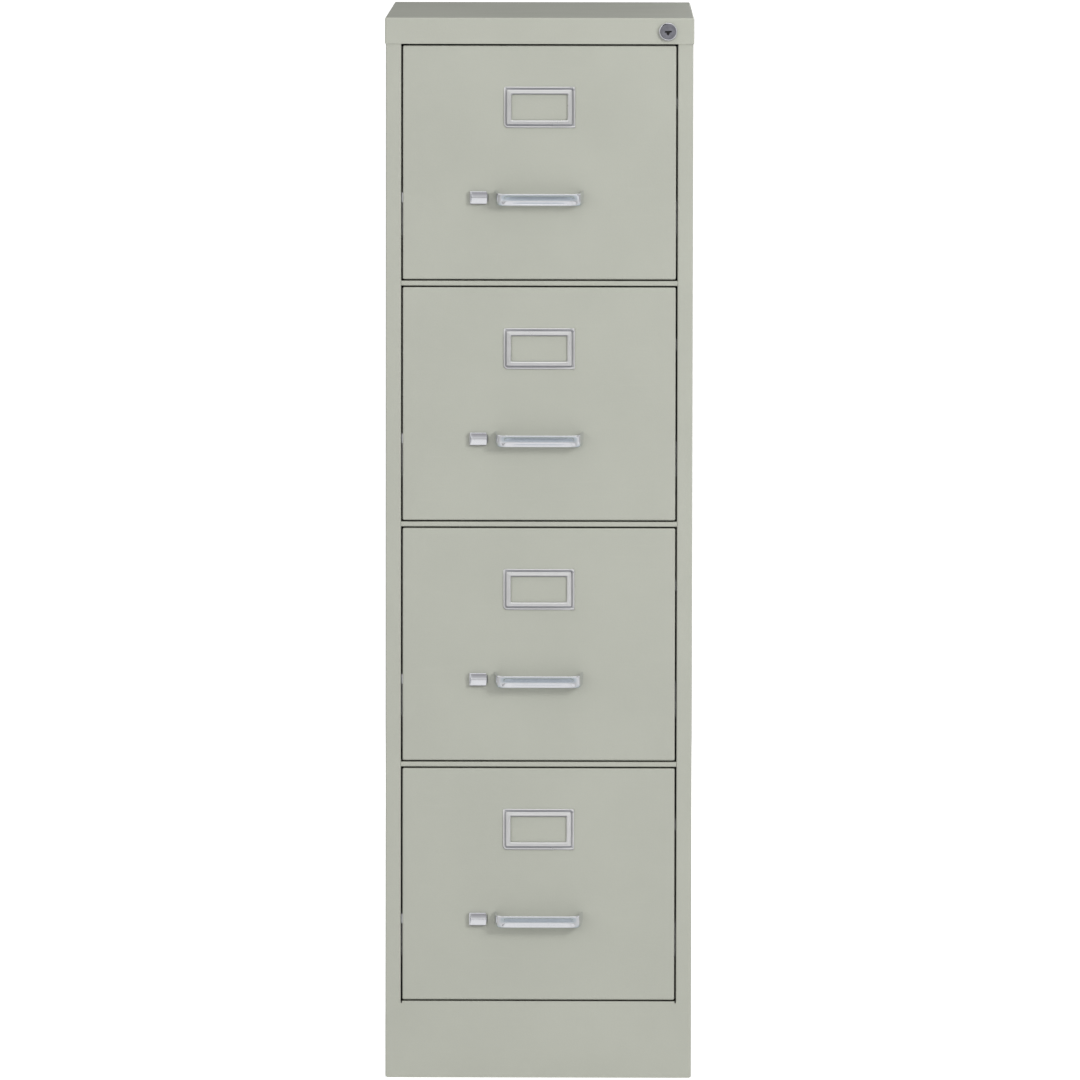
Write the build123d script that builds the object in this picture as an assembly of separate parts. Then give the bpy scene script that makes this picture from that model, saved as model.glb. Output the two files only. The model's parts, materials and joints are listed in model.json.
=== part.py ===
from build123d import *
import os

# Four-drawer steel file cabinet, letter width. Millimetres, +X right, front towards -Y, +Z up.
# The origin is under the middle of the cabinet, on the surface it stands on.

# ---------------------------------------------------------------- driving dimensions
DRAWERS = 4
BODY_WIDTH = 381.0
HEIGHT = 1320.8
CAP_DEPTH = 673.1
CAP_HEIGHT = 32.5
SHEET = 1.1
THIN_SHEET = 0.8
BEND_RADIUS = 0.9
EDGE_RADIUS = 2.0

BASE_HEIGHT = 95.8
BASE_RETURN = 12.0
BASE_CORNER_CUT = 2.4
BASE_NOTCH_WIDTH = 1.6
BASE_NOTCH_HEIGHT = 2.4
DRAWER_GAP = 1.9
CAP_GAP = 2.2
RAIL_HEIGHT = 6.1
RAIL_DEPTH = 25.0
RAIL_SETBACK = 0.4
OPENING_HALF = 171.4
JAMB_DEPTH = 18.0
REAR_FLANGE = 19.0
BOTTOM_FLANGE = 15.0
FLOOR_LEVEL = 20.0
FLOOR_RIM = 12.0
BEAD_WIDTH = 300.0
BEAD_HEIGHT = 14.0
BEAD_DEPTH = 1.2
BEAD_LEVELS = (250.0, 540.0, 830.0, 1120.0)

FRONT_HALF = 169.3
FRONT_DEPTH = 20.0
LINER_RETURN = 8.0
LINER_CLEARANCE = 0.1
TUB_HALF = 158.3
TUB_BOTTOM = 12.0
TUB_HEIGHT = 250.0
TUB_DEPTH = 612.0
RIM_WIDTH = 3.9
RIM_DROP = 9.0
TUB_BACK_HEIGHT = 205.0
TUB_BACK_RETURN = 12.0

SLIDE_PLANE = 171.0
SLIDE_SHEET = 1.4
SLIDE_THICKNESS = SLIDE_PLANE - TUB_HALF
SLIDE_LENGTH = 609.6
SLIDE_MID_LENGTH = 560.0
SLIDE_FRONT_GAP = 3.0
SLIDE_LEVEL = 75.0
CASE_MEMBER = {"web": 0.7, "lip": 11.0, "half_height": 21.8}
MID_MEMBER = {"web": 3.1, "lip": 10.6, "half_height": 17.6}
DRAWER_MEMBER = {"web": 12.0, "lip": 4.8, "half_height": 13.5}
CAGE_THICKNESS = 1.2
CAGE_LENGTH = 200.0
CAGE_SPAN = (5.0, 9.6)
UPRIGHT_WIDTH = 30.0
UPRIGHT_FLANGE = 12.0
UPRIGHT_FRONTS = (56.0, 576.0)

PULL_REACH = 23.4
PULL_HALF = 55.3
PULL_FRONT_HALF = 51.5
PULL_THICKNESS = 3.0
PULL_TOP = 109.0
PULL_HEIGHT = 17.0
PULL_BAR_DROP = 1.9
PULL_LIP_HEIGHT = 1.6
PULL_LIP_RADIUS = 0.6
# deepest corner of the channel and of the bar's back: distance in front of the drawer, drop, radius
PULL_HOLLOW = (15.0, 9.9, 5.0)
PULL_BACK = (11.2, 9.6, 8.0)
PULL_BASE_REACH = 18.0
PULL_LEG_DROP = 15.5
PULL_LEAN = 9.0
PULL_FOOT_WIDTH = 12.0
PULL_FOOT_THICKNESS = 3.0
SCREW_X = 48.5
SCREW_DROP = 8.0
SCREW_RADIUS = 2.0
SCREW_CLEARANCE = 0.1
SCREW_DEPTH = 8.0
SCREW_HEAD_RADIUS = 4.2
SCREW_HEAD_HEIGHT = 2.6
BOSS_RADIUS = 4.0
BOSS_LENGTH = 11.0

LATCH_X = -75.7
LATCH_Z = 101.5
LATCH_WIDTH = 21.2
LATCH_HEIGHT = 16.2
LATCH_REACH = 5.8
LATCH_CLEARANCE = 0.3
LATCH_TRAVEL = 8.0
LATCH_EDGE = 1.0
LATCH_SCOOP_RADIUS = 11.0
LATCH_SCOOP_DEPTH = 1.6
STEM_X = (-82.5, -72.0)
STEM_HALF_HEIGHT = 4.0
SLOT_MARGIN = 0.7
LATCH_BAR_GAP = 0.4
LATCH_BAR_THICKNESS = 1.6
LATCH_BAR_HALF_HEIGHT = 6.0
LATCH_BAR_END = -64.0
LATCH_TIP = -170.6
BOLT_WINDOW_HALF_HEIGHT = 7.0
STRIKE_THICKNESS = 1.5
STRIKE_HALF_HEIGHT = 16.0
STRIKE_DEPTH = (2.4, 16.0)
STRIKE_WINDOW_DEPTH = (2.6, 9.0)

LABEL_WIDTH = 88.8
LABEL_HEIGHT = 51.3
LABEL_DROP = 50.5
LABEL_WINDOW = (69.0, 30.7)
LABEL_FLANGE = 1.0
LABEL_RING = (81.6, 44.8)
LABEL_RING_REACH = 3.0
LABEL_CORNER = 2.4
CARD_POCKET = (74.0, 1.0)
LABEL_TAB_X = 36.0
LABEL_TAB_WIDTH = 6.0
LABEL_TAB_THICKNESS = 0.8
LABEL_TAB_LENGTH = 2.4
LABEL_TAB_INSET = 2.0
LABEL_SLOT_CLEARANCE = 0.3

LOCK_X = 159.0
LOCK_Z = 1303.8
LOCK_RING_RADIUS = 11.4
LOCK_RING_REACH = 4.0
LOCK_FACE_RADIUS = 9.6
LOCK_FACE_DEPTH = 2.8
LOCK_BODY_RADIUS = 9.5
LOCK_SHAFT_RADIUS = 6.0
LOCK_FIT = 0.05
LOCK_HOLE_CLEARANCE = 0.2
LOCK_BODY_LENGTH = 20.0
LOCK_NUT_FLATS = 23.0
LOCK_NUT_THICKNESS = 4.0
KEYWAY = (9.0, 2.4, 1.8)
KEYWAY_POINT = 4.8
CAM_THICKNESS = 2.0
CAM_RADIUS = 8.0
CAM_HUB_RADIUS = 7.5
CAM_EYE_RADIUS = 4.5
CAM_REST_ANGLE = -45.0
CAM_PIN_RADIUS = 2.5
CAM_PIN_LENGTH = 6.0
CAM_GAP = 0.5

BAR_X = (174.0, 186.0)
BAR_THICKNESS = 2.0
BAR_GAP = 2.0
BAR_BOTTOM = 110.0
YOKE_X = (158.0, 186.0)
YOKE_HALF_HEIGHT = 8.0
YOKE_SLOT_X = (161.4, 170.4)
YOKE_CLEARANCE = 0.45
HOOK_TIP = 160.5
HOOK_HEIGHT = 14.0
CATCH_LEVEL = 225.0
CATCH_HEIGHT = 15.0
CATCH_TIP = 168.0
CATCH_THICKNESS = 2.0
CATCH_FOOT = 12.0
CATCH_CLEARANCE = 0.8
GUIDE_LEVELS = (180.0, 640.0, 1240.0)
GUIDE_HEIGHT = 24.0
GUIDE_CLEARANCE = 0.7

# ---------------------------------------------------------------- derived dimensions
BODY_HALF = BODY_WIDTH / 2
CAP_WIDTH = BODY_WIDTH + 2 * SHEET
FRONT = (PULL_REACH + SHEET - CAP_DEPTH) / 2
CAP_FRONT = FRONT - SHEET
CAP_BACK = CAP_FRONT + CAP_DEPTH
BACK = CAP_BACK - SHEET
HALF_SHEET = SHEET / 2
HALF_THIN = THIN_SHEET / 2
WALL_INSIDE = BODY_HALF - SHEET
CAP_BOTTOM = HEIGHT - CAP_HEIGHT
BODY_TOP = HEIGHT - SHEET - EDGE_RADIUS
RAIL_SPACE = 2 * DRAWER_GAP + RAIL_HEIGHT
STACK_HEIGHT = CAP_BOTTOM - BASE_HEIGHT - DRAWER_GAP - CAP_GAP
DRAWER_HEIGHT = (STACK_HEIGHT - (DRAWERS - 1) * RAIL_SPACE) / DRAWERS
DRAWER_PITCH = DRAWER_HEIGHT + RAIL_SPACE
FRONT_INSIDE = FRONT + SHEET
FRONT_BACK = FRONT + FRONT_DEPTH
TUB_BACK = FRONT_BACK + TUB_DEPTH
SLIDE_START = FRONT_BACK + SLIDE_FRONT_GAP
CAM_FRONT = CAP_FRONT + LOCK_BODY_LENGTH + CAM_GAP
CAM_BACK = CAM_FRONT + CAM_THICKNESS
BAR_FRONT = CAM_BACK + BAR_GAP
BAR_BACK = BAR_FRONT + BAR_THICKNESS
LATCH_BAR_FRONT = FRONT_INSIDE + LATCH_BAR_GAP
LATCH_BAR_BACK = LATCH_BAR_FRONT + LATCH_BAR_THICKNESS


def drawer_bottom(number):
    """Height of the lower edge of a drawer front. Drawer 1 is the top one."""
    return BASE_HEIGHT + DRAWER_GAP + (DRAWERS - number) * DRAWER_PITCH


# ---------------------------------------------------------------- building blocks
def block(x_span, y_span, z_span):
    """Box between the given limits."""
    spans = (x_span, y_span, z_span)
    centre = [(low + high) / 2 for low, high in spans]
    size = [abs(high - low) for low, high in spans]
    return Pos(*centre) * Box(*size)


def sheet_face(points, thickness=SHEET, radius=BEND_RADIUS):
    """Face of a bent sheet whose mid-line runs through the points, with round bends."""
    corners = [Vector(*point) for point in points]
    steps = [(after - before).normalized() for before, after in zip(corners, corners[1:])]
    left = []
    right = []
    for index, corner in enumerate(corners):
        step_in = steps[max(index - 1, 0)]
        step_out = steps[min(index, len(steps) - 1)]
        normal_in = Vector(-step_in.Y, step_in.X)
        normal_out = Vector(-step_out.Y, step_out.X)
        mitre = (normal_in + normal_out) * (thickness / 2 / (1 + normal_in.dot(normal_out)))
        turn = step_in.cross(step_out).Z
        is_end = index in (0, len(corners) - 1)
        inner = 0 if is_end else radius
        outer = 0 if is_end else radius + thickness
        left.append((corner + mitre, inner if turn > 0 else outer))
        right.append((corner - mitre, outer if turn > 0 else inner))
    outline = left + right[::-1]
    line = FilletPolyline(*[point for point, _ in outline], radius=[r for _, r in outline], close=True)
    return make_face(line)


def in_plan(face, z_low, z_high):
    """Extrude a face drawn in (x, y) between two heights."""
    return extrude(Pos(0, 0, z_low) * face, amount=z_high - z_low)


def from_front(face, y_front, y_back):
    """Extrude a face drawn in (x, z) between two depths."""
    plane = Plane(origin=(0, y_front, 0), x_dir=(1, 0, 0), z_dir=(0, -1, 0))
    return extrude(plane * face, amount=y_front - y_back)


def from_side(face, x_low, x_high):
    """Extrude a face drawn in (y, z) between two widths."""
    plane = Plane(origin=(x_low, 0, 0), x_dir=(0, 1, 0), z_dir=(1, 0, 0))
    return extrude(plane * face, amount=x_high - x_low)


def rounded_pan(width, length, height, radius, sheet=SHEET):
    """Folded pan, open below, centred in plan on the origin, with its top face at z = 0."""
    shapes = []
    for inset in (0, sheet):
        solid = Pos(0, 0, -height / 2 - inset) * Box(width - 2 * inset, length - 2 * inset, height)
        corners = solid.edges().filter_by(Axis.Z)
        rim = solid.faces().sort_by(Axis.Z)[-1].edges()
        shapes.append(fillet(corners + rim, radius - inset / 2))
    return shapes[0] - shapes[1]


def rod(radius, start, axis, length):
    """Round bar from a start point along an axis."""
    plane = Plane(origin=start, z_dir=axis)
    return extrude(plane * Circle(radius), amount=length)


def mirrored(solid):
    return mirror(solid, about=Plane.YZ)


# ---------------------------------------------------------------- case
def side_panel():
    """Right side wall with its front post, rear flange and bottom flange in one folded sheet."""
    wall_x = BODY_HALF - HALF_SHEET
    jamb_x = OPENING_HALF + HALF_SHEET
    section = [
        (BODY_HALF - REAR_FLANGE, BACK - HALF_SHEET),
        (wall_x, BACK - HALF_SHEET),
        (wall_x, FRONT + HALF_SHEET),
        (jamb_x, FRONT + HALF_SHEET),
        (jamb_x, FRONT + JAMB_DEPTH),
    ]
    panel = in_plan(sheet_face(section), 0, BODY_TOP)
    panel -= block((0, BODY_WIDTH), (FRONT - 1, FRONT + BASE_RETURN), (-1, BASE_HEIGHT))
    panel -= block((0, OPENING_HALF + 2), (FRONT - 1, FRONT + JAMB_DEPTH + 1), (-1, BASE_HEIGHT))
    flange_y = (FRONT + BASE_RETURN, BACK - SHEET - FLOOR_RIM)
    panel += block((BODY_HALF - BOTTOM_FLANGE, BODY_HALF - HALF_SHEET), flange_y, (0, SHEET))
    return panel


def bolt_windows(depth_span, x_span):
    """Blocks that open a window for each drawer's latch bolt."""
    blocks = []
    for number in range(1, DRAWERS + 1):
        level = drawer_bottom(number) + LATCH_Z
        z_span = (level - BOLT_WINDOW_HALF_HEIGHT, level + BOLT_WINDOW_HALF_HEIGHT)
        blocks.append(block(x_span, (FRONT + depth_span[0], FRONT + depth_span[1]), z_span))
    return blocks


def side_panel_left():
    panel = mirrored(side_panel())
    for window in bolt_windows(STRIKE_WINDOW_DEPTH, (-OPENING_HALF - 2 * SHEET, -OPENING_HALF + 1)):
        panel -= window
    return panel


def latch_strikes():
    """Plates inside the left post that the latch bolts catch behind."""
    plates = []
    x_span = (-OPENING_HALF - SHEET - STRIKE_THICKNESS, -OPENING_HALF - SHEET)
    for window, number in zip(bolt_windows(STRIKE_WINDOW_DEPTH, x_span), range(1, DRAWERS + 1)):
        level = drawer_bottom(number) + LATCH_Z
        z_span = (level - STRIKE_HALF_HEIGHT, level + STRIKE_HALF_HEIGHT)
        plate = block(x_span, (FRONT + STRIKE_DEPTH[0], FRONT + STRIKE_DEPTH[1]), z_span)
        plates.append(plate - window)
    return plates


def back_panel():
    """Rear sheet with pressed stiffening beads and flanges at its top and bottom."""
    outside = BACK - SHEET
    inside = outside - THIN_SHEET
    half_width = WALL_INSIDE - BEND_RADIUS
    section = [
        (outside - FLOOR_RIM, HALF_THIN),
        (outside - HALF_THIN, HALF_THIN),
        (outside - HALF_THIN, BODY_TOP - HALF_THIN),
        (outside - FLOOR_RIM, BODY_TOP - HALF_THIN),
    ]
    panel = from_side(sheet_face(section, thickness=THIN_SHEET), -half_width, half_width)
    half_bead = BEAD_WIDTH / 2
    for level in BEAD_LEVELS:
        low = level - BEAD_HEIGHT / 2
        high = level + BEAD_HEIGHT / 2
        panel += block(
            (-half_bead - THIN_SHEET, half_bead + THIN_SHEET),
            (inside - BEAD_DEPTH, inside),
            (low - THIN_SHEET, high + THIN_SHEET),
        )
        panel -= block((-half_bead, half_bead), (outside - BEAD_DEPTH, outside + 1), (low, high))
    return panel


def top_cap():
    """Lid folded down over the case, with the lock's hole in its front."""
    cap = Pos(0, (CAP_FRONT + CAP_BACK) / 2, HEIGHT) * rounded_pan(
        CAP_WIDTH, CAP_DEPTH, CAP_HEIGHT, EDGE_RADIUS
    )
    hole = LOCK_BODY_RADIUS + LOCK_HOLE_CLEARANCE
    return cap - rod(hole, (LOCK_X, CAP_FRONT - 1, LOCK_Z), (0, 1, 0), SHEET + 2)


def base_panel():
    """Kick panel below the bottom drawer, with short returns that finish the front corners."""
    wall_x = BODY_HALF - HALF_SHEET
    section = [
        (-wall_x, FRONT + BASE_RETURN),
        (-wall_x, FRONT + HALF_SHEET),
        (wall_x, FRONT + HALF_SHEET),
        (wall_x, FRONT + BASE_RETURN),
    ]
    panel = in_plan(sheet_face(section), 0, BASE_HEIGHT)
    flange_y = (FRONT + HALF_SHEET, FRONT + JAMB_DEPTH)
    ledge_half = OPENING_HALF - BASE_NOTCH_WIDTH
    panel += block((-ledge_half, ledge_half), flange_y, (BASE_HEIGHT - SHEET, BASE_HEIGHT))
    panel += block((-ledge_half, ledge_half), flange_y, (0, SHEET))
    for side in (-1, 1):
        notch_x = (side * ledge_half, side * OPENING_HALF)
        notch_z = (BASE_HEIGHT - BASE_NOTCH_HEIGHT, BASE_HEIGHT + 1)
        panel -= block(notch_x, (FRONT - 1, FRONT + JAMB_DEPTH + 1), notch_z)
        corner = Pos(side * BODY_HALF, 0) * Rot(0, 0, 45) * Rectangle(
            BASE_CORNER_CUT * 2**0.5, BASE_CORNER_CUT * 2**0.5
        )
        panel -= from_front(corner, FRONT - 1, FRONT + BASE_RETURN)
    return panel


def bottom_pan():
    """Floor sheet of the case with an upturned rim."""
    width = 2 * WALL_INSIDE
    front = FRONT + JAMB_DEPTH
    back = BACK - SHEET - THIN_SHEET - BEAD_DEPTH
    pan = Rot(180, 0, 0) * rounded_pan(width, back - front, FLOOR_RIM, EDGE_RADIUS, THIN_SHEET)
    return Pos(0, (front + back) / 2, FLOOR_LEVEL) * pan


def cross_rails():
    """Thin channels across the front opening, one between each two drawers."""
    rails = []
    front = FRONT + RAIL_SETBACK
    for number in range(1, DRAWERS):
        bottom = drawer_bottom(number) - DRAWER_GAP - RAIL_HEIGHT
        section = [
            (front + RAIL_DEPTH, bottom + HALF_SHEET),
            (front + HALF_SHEET, bottom + HALF_SHEET),
            (front + HALF_SHEET, bottom + RAIL_HEIGHT - HALF_SHEET),
            (front + RAIL_DEPTH, bottom + RAIL_HEIGHT - HALF_SHEET),
        ]
        rails.append(from_side(sheet_face(section, radius=BEND_RADIUS / 2), -OPENING_HALF, OPENING_HALF))
    return rails


def slide_uprights():
    """Hat-section uprights that carry the drawer slides, two on each side wall."""
    wall_x = WALL_INSIDE - HALF_SHEET
    face_x = SLIDE_PLANE + HALF_SHEET
    uprights = []
    for offset in UPRIGHT_FRONTS:
        front = FRONT + offset
        section = [
            (wall_x, front - UPRIGHT_FLANGE),
            (wall_x, front),
            (face_x, front),
            (face_x, front + UPRIGHT_WIDTH),
            (wall_x, front + UPRIGHT_WIDTH),
            (wall_x, front + UPRIGHT_WIDTH + UPRIGHT_FLANGE),
        ]
        upright = in_plan(sheet_face(section), FLOOR_LEVEL + FLOOR_RIM, CAP_BOTTOM - CAP_GAP)
        uprights += [upright, mirrored(upright)]
    return uprights


# ---------------------------------------------------------------- slides
def slide_member(number, member, y_span):
    """Both C-channels of one slide member of a drawer, lying along the drawer's travel."""
    level = drawer_bottom(number) + SLIDE_LEVEL
    web_x = SLIDE_PLANE - member["web"]
    lip_x = SLIDE_PLANE - member["lip"]
    section = [
        (lip_x, level - member["half_height"]),
        (web_x, level - member["half_height"]),
        (web_x, level + member["half_height"]),
        (lip_x, level + member["half_height"]),
    ]
    right = from_front(sheet_face(section, thickness=SLIDE_SHEET), *y_span)
    return [right, mirrored(right)]


def slide_case_members():
    members = []
    for number in range(1, DRAWERS + 1):
        members += slide_member(number, CASE_MEMBER, (SLIDE_START, SLIDE_START + SLIDE_LENGTH))
    return members


def mid_rails(number):
    """Middle slide members with the ball cages that run above and below them."""
    members = slide_member(number, MID_MEMBER, (SLIDE_START, SLIDE_START + SLIDE_MID_LENGTH))
    level = drawer_bottom(number) + SLIDE_LEVEL
    race = (MID_MEMBER["half_height"] + CASE_MEMBER["half_height"]) / 2
    cage_x = (SLIDE_PLANE - CAGE_SPAN[1], SLIDE_PLANE - CAGE_SPAN[0])
    cage_y = (SLIDE_START + SLIDE_MID_LENGTH - CAGE_LENGTH, SLIDE_START + SLIDE_MID_LENGTH)
    for sign in (-1, 1):
        middle = level + sign * race
        z_span = (middle - CAGE_THICKNESS / 2, middle + CAGE_THICKNESS / 2)
        cage = block(cage_x, cage_y, z_span)
        members += [cage, mirrored(cage)]
    return members


def inner_rails(number):
    return slide_member(number, DRAWER_MEMBER, (SLIDE_START, SLIDE_START + SLIDE_LENGTH))


# ---------------------------------------------------------------- drawer
def upright_pan(half_width, z_span, y_front, depth, sheet=SHEET):
    """Folded pan standing on edge, with its closed face towards the front."""
    height = z_span[1] - z_span[0]
    pan = Rot(90, 0, 0) * rounded_pan(2 * half_width, height, depth, EDGE_RADIUS, sheet)
    return Pos(0, y_front, (z_span[0] + z_span[1]) / 2) * pan


def label_tabs(number, clearance):
    """Tabs of a label holder, or with a clearance the slots that they pass through."""
    middle = drawer_bottom(number) + DRAWER_HEIGHT - LABEL_DROP - LABEL_HEIGHT / 2
    half_width = LABEL_TAB_WIDTH / 2 + clearance
    half_height = LABEL_TAB_THICKNESS / 2 + clearance
    tabs = []
    for x_sign in (-1, 1):
        for z_sign in (-1, 1):
            x = x_sign * LABEL_TAB_X
            z = middle + z_sign * (LABEL_HEIGHT / 2 - LABEL_TAB_INSET)
            y_span = (FRONT - LABEL_FLANGE / 2, FRONT + LABEL_TAB_LENGTH)
            x_span = (x - half_width, x + half_width)
            tabs.append(block(x_span, y_span, (z - half_height, z + half_height)))
    return tabs


def drawer_front(number):
    """Outer drawer front, with its latch slot, bolt window, label slots and screw holes."""
    bottom = drawer_bottom(number)
    front = upright_pan(FRONT_HALF, (bottom, bottom + DRAWER_HEIGHT), FRONT, FRONT_DEPTH)
    slot_x = (STEM_X[0] - SLOT_MARGIN, STEM_X[1] + LATCH_TRAVEL + SLOT_MARGIN)
    slot_half = STEM_HALF_HEIGHT + SLOT_MARGIN
    level = bottom + LATCH_Z
    front -= block(slot_x, (FRONT - 1, FRONT_INSIDE + 1), (level - slot_half, level + slot_half))
    window_x = (-FRONT_HALF - 1, -FRONT_HALF + SHEET + 1)
    window_y = (LATCH_BAR_FRONT - LATCH_BAR_GAP, LATCH_BAR_BACK + LATCH_BAR_GAP)
    window_z = (level - BOLT_WINDOW_HALF_HEIGHT, level + BOLT_WINDOW_HALF_HEIGHT)
    front -= block(window_x, window_y, window_z)
    for slot in label_tabs(number, LABEL_SLOT_CLEARANCE):
        front -= slot
    for side in (-1, 1):
        start = (side * SCREW_X, FRONT - 1, screw_level(number))
        front -= rod(SCREW_RADIUS + 2 * SCREW_CLEARANCE, start, (0, 1, 0), SHEET + 2)
    return front


def drawer_liner(number):
    """Inner skin that closes the back of a drawer front."""
    inset = SHEET + LINER_CLEARANCE
    bottom = drawer_bottom(number)
    z_span = (bottom + inset, bottom + DRAWER_HEIGHT - inset)
    pan = upright_pan(FRONT_HALF - inset, z_span, 0, LINER_RETURN, THIN_SHEET)
    return Pos(0, FRONT_BACK, 0) * mirror(pan, about=Plane.XZ)


def drawer_tub(number):
    """Drawer sides and bottom folded from one sheet, with folder rims, and the catch for the lock."""
    low = drawer_bottom(number) + TUB_BOTTOM
    high = low + TUB_HEIGHT
    wall_x = TUB_HALF - HALF_THIN
    rim_x = wall_x - RIM_WIDTH
    right_half = [
        (wall_x, low + HALF_THIN),
        (wall_x, high - HALF_THIN),
        (rim_x, high - HALF_THIN),
        (rim_x, high - RIM_DROP),
    ]
    left_half = [(-x, z) for x, z in reversed(right_half)]
    outline = sheet_face(left_half + right_half, thickness=THIN_SHEET)
    tub = from_front(outline, FRONT_BACK, TUB_BACK)
    catch_low = drawer_bottom(number) + CATCH_LEVEL
    catch_z = (catch_low, catch_low + CATCH_HEIGHT)
    catch_y = (BAR_BACK + CATCH_CLEARANCE, BAR_BACK + CATCH_CLEARANCE + CATCH_THICKNESS)
    catch = block((TUB_HALF, CATCH_TIP), catch_y, catch_z)
    catch += block((TUB_HALF, TUB_HALF + SHEET), (catch_y[0], catch_y[1] + CATCH_FOOT), catch_z)
    return [tub, catch]


def drawer_back(number):
    """Rear wall of a drawer, a shallow pan between the sides."""
    low = drawer_bottom(number) + TUB_BOTTOM + THIN_SHEET
    half_width = TUB_HALF - THIN_SHEET - LINER_CLEARANCE
    z_span = (low, low + TUB_BACK_HEIGHT)
    return upright_pan(half_width, z_span, TUB_BACK - TUB_BACK_RETURN, TUB_BACK_RETURN, THIN_SHEET)


def screw_level(number):
    return drawer_bottom(number) + PULL_TOP - SCREW_DROP


def pull_outline(number, corners):
    """Face in (y, z) through corners given as distance in front of the drawer, drop and radius."""
    top = drawer_bottom(number) + PULL_TOP
    points = [(FRONT - reach, top - drop) for reach, drop, _ in corners]
    return make_face(FilletPolyline(*points, radius=[r for _, _, r in corners], close=True))


def pull(number):
    """Cast bow pull: a bar channelled along its front, carried forward on two leaning legs."""
    channel = [
        (PULL_REACH, PULL_BAR_DROP, PULL_LIP_RADIUS),
        (PULL_REACH, PULL_BAR_DROP + PULL_LIP_HEIGHT, PULL_LIP_RADIUS),
        PULL_HOLLOW,
        (PULL_BASE_REACH, PULL_HEIGHT, PULL_LIP_RADIUS),
    ]
    bar_back = [
        (PULL_BASE_REACH - PULL_THICKNESS, PULL_HEIGHT, PULL_LIP_RADIUS),
        PULL_BACK,
        (PULL_REACH - PULL_THICKNESS, PULL_BAR_DROP, PULL_LIP_RADIUS),
    ]
    leg_outline = pull_outline(number, channel + [(0, PULL_LEG_DROP, 0), (0, 0, 0)])
    body = from_side(pull_outline(number, channel + bar_back), -PULL_FRONT_HALF, PULL_FRONT_HALF)
    top = drawer_bottom(number) + PULL_TOP
    foot_y = (FRONT - PULL_FOOT_THICKNESS, FRONT)
    foot_z = (top - PULL_LEG_DROP, top - PULL_LIP_RADIUS)
    for side in (-1, 1):
        hinge = Pos(side * PULL_HALF, FRONT) * Rot(0, 0, -side * PULL_LEAN) * Pos(0, -FRONT)
        body += hinge * from_side(leg_outline, 0, -side * PULL_THICKNESS)
        foot_x = (side * (PULL_HALF - PULL_FOOT_WIDTH), side * (PULL_HALF - PULL_THICKNESS / 2))
        body += block(foot_x, foot_y, foot_z)
        body += rod(BOSS_RADIUS, (side * SCREW_X, FRONT, screw_level(number)), (0, -1, 0), BOSS_LENGTH)
    body &= block((-PULL_HALF, PULL_HALF), (FRONT - PULL_REACH, FRONT), (top - PULL_HEIGHT, top))
    for side in (-1, 1):
        start = (side * SCREW_X, FRONT, screw_level(number))
        body -= rod(SCREW_RADIUS + SCREW_CLEARANCE, start, (0, -1, 0), SCREW_DEPTH + SCREW_CLEARANCE)
    return body


def pull_screws(number):
    """Machine screws that hold a pull from behind the drawer front."""
    screws = []
    for side in (-1, 1):
        start = (side * SCREW_X, FRONT_INSIDE, screw_level(number))
        head = rod(SCREW_HEAD_RADIUS, start, (0, 1, 0), SCREW_HEAD_HEIGHT)
        shank = rod(SCREW_RADIUS, start, (0, -1, 0), SCREW_DEPTH + SHEET)
        screws.append(head + shank)
    return screws


def label_holder(number):
    """Stamped frame with a raised ring, a window and a pocket for a card, open at the top."""
    middle = drawer_bottom(number) + DRAWER_HEIGHT - LABEL_DROP - LABEL_HEIGHT / 2
    centre = Pos(0, middle)
    flange = from_front(
        centre * RectangleRounded(LABEL_WIDTH, LABEL_HEIGHT, LABEL_CORNER), FRONT - LABEL_FLANGE, FRONT
    )
    ring = from_front(centre * RectangleRounded(*LABEL_RING, LABEL_CORNER), FRONT - LABEL_RING_REACH, FRONT)
    window = from_front(centre * Rectangle(*LABEL_WINDOW), FRONT - PULL_REACH, FRONT + 1)
    pocket_x = (-CARD_POCKET[0] / 2, CARD_POCKET[0] / 2)
    pocket_y = (FRONT - LABEL_FLANGE - CARD_POCKET[1], FRONT - LABEL_FLANGE)
    pocket_z = (middle - LABEL_WINDOW[1] / 2 - LABEL_CORNER, middle + LABEL_HEIGHT)
    holder = flange + ring - window - block(pocket_x, pocket_y, pocket_z)
    for tab in label_tabs(number, 0):
        holder += tab
    return holder


def latch_button(number):
    """Scooped thumb button that stands in front of the drawer and slides towards the pull."""
    level = drawer_bottom(number) + LATCH_Z
    half_width = LATCH_WIDTH / 2
    half_height = LATCH_HEIGHT / 2
    front = FRONT - LATCH_REACH
    back = FRONT - LATCH_CLEARANCE
    x_span = (LATCH_X - half_width, LATCH_X + half_width)
    body = block(x_span, (front, back), (level - half_height, level + half_height))
    body = fillet(body.edges().filter_by(Axis.Y), LATCH_EDGE)
    axis_y = front + LATCH_SCOOP_DEPTH - LATCH_SCOOP_RADIUS
    start = (LATCH_X - LATCH_WIDTH, axis_y, level + LATCH_EDGE)
    body -= rod(LATCH_SCOOP_RADIUS, start, (1, 0, 0), 2 * LATCH_WIDTH)
    stem_z = (level - STEM_HALF_HEIGHT, level + STEM_HALF_HEIGHT)
    return body + block(STEM_X, (back - SHEET, LATCH_BAR_FRONT), stem_z)


def latch_slide(number):
    """Flat bar behind the drawer front that carries the bolt to the left post."""
    level = drawer_bottom(number) + LATCH_Z
    z_span = (level - LATCH_BAR_HALF_HEIGHT, level + LATCH_BAR_HALF_HEIGHT)
    return block((LATCH_TIP, LATCH_BAR_END), (LATCH_BAR_FRONT, LATCH_BAR_BACK), z_span)


# ---------------------------------------------------------------- lock
def lock_point(offset):
    """Point on the lock's axis at a distance behind the cap's front."""
    return (LOCK_X, CAP_FRONT + offset, LOCK_Z)


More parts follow.
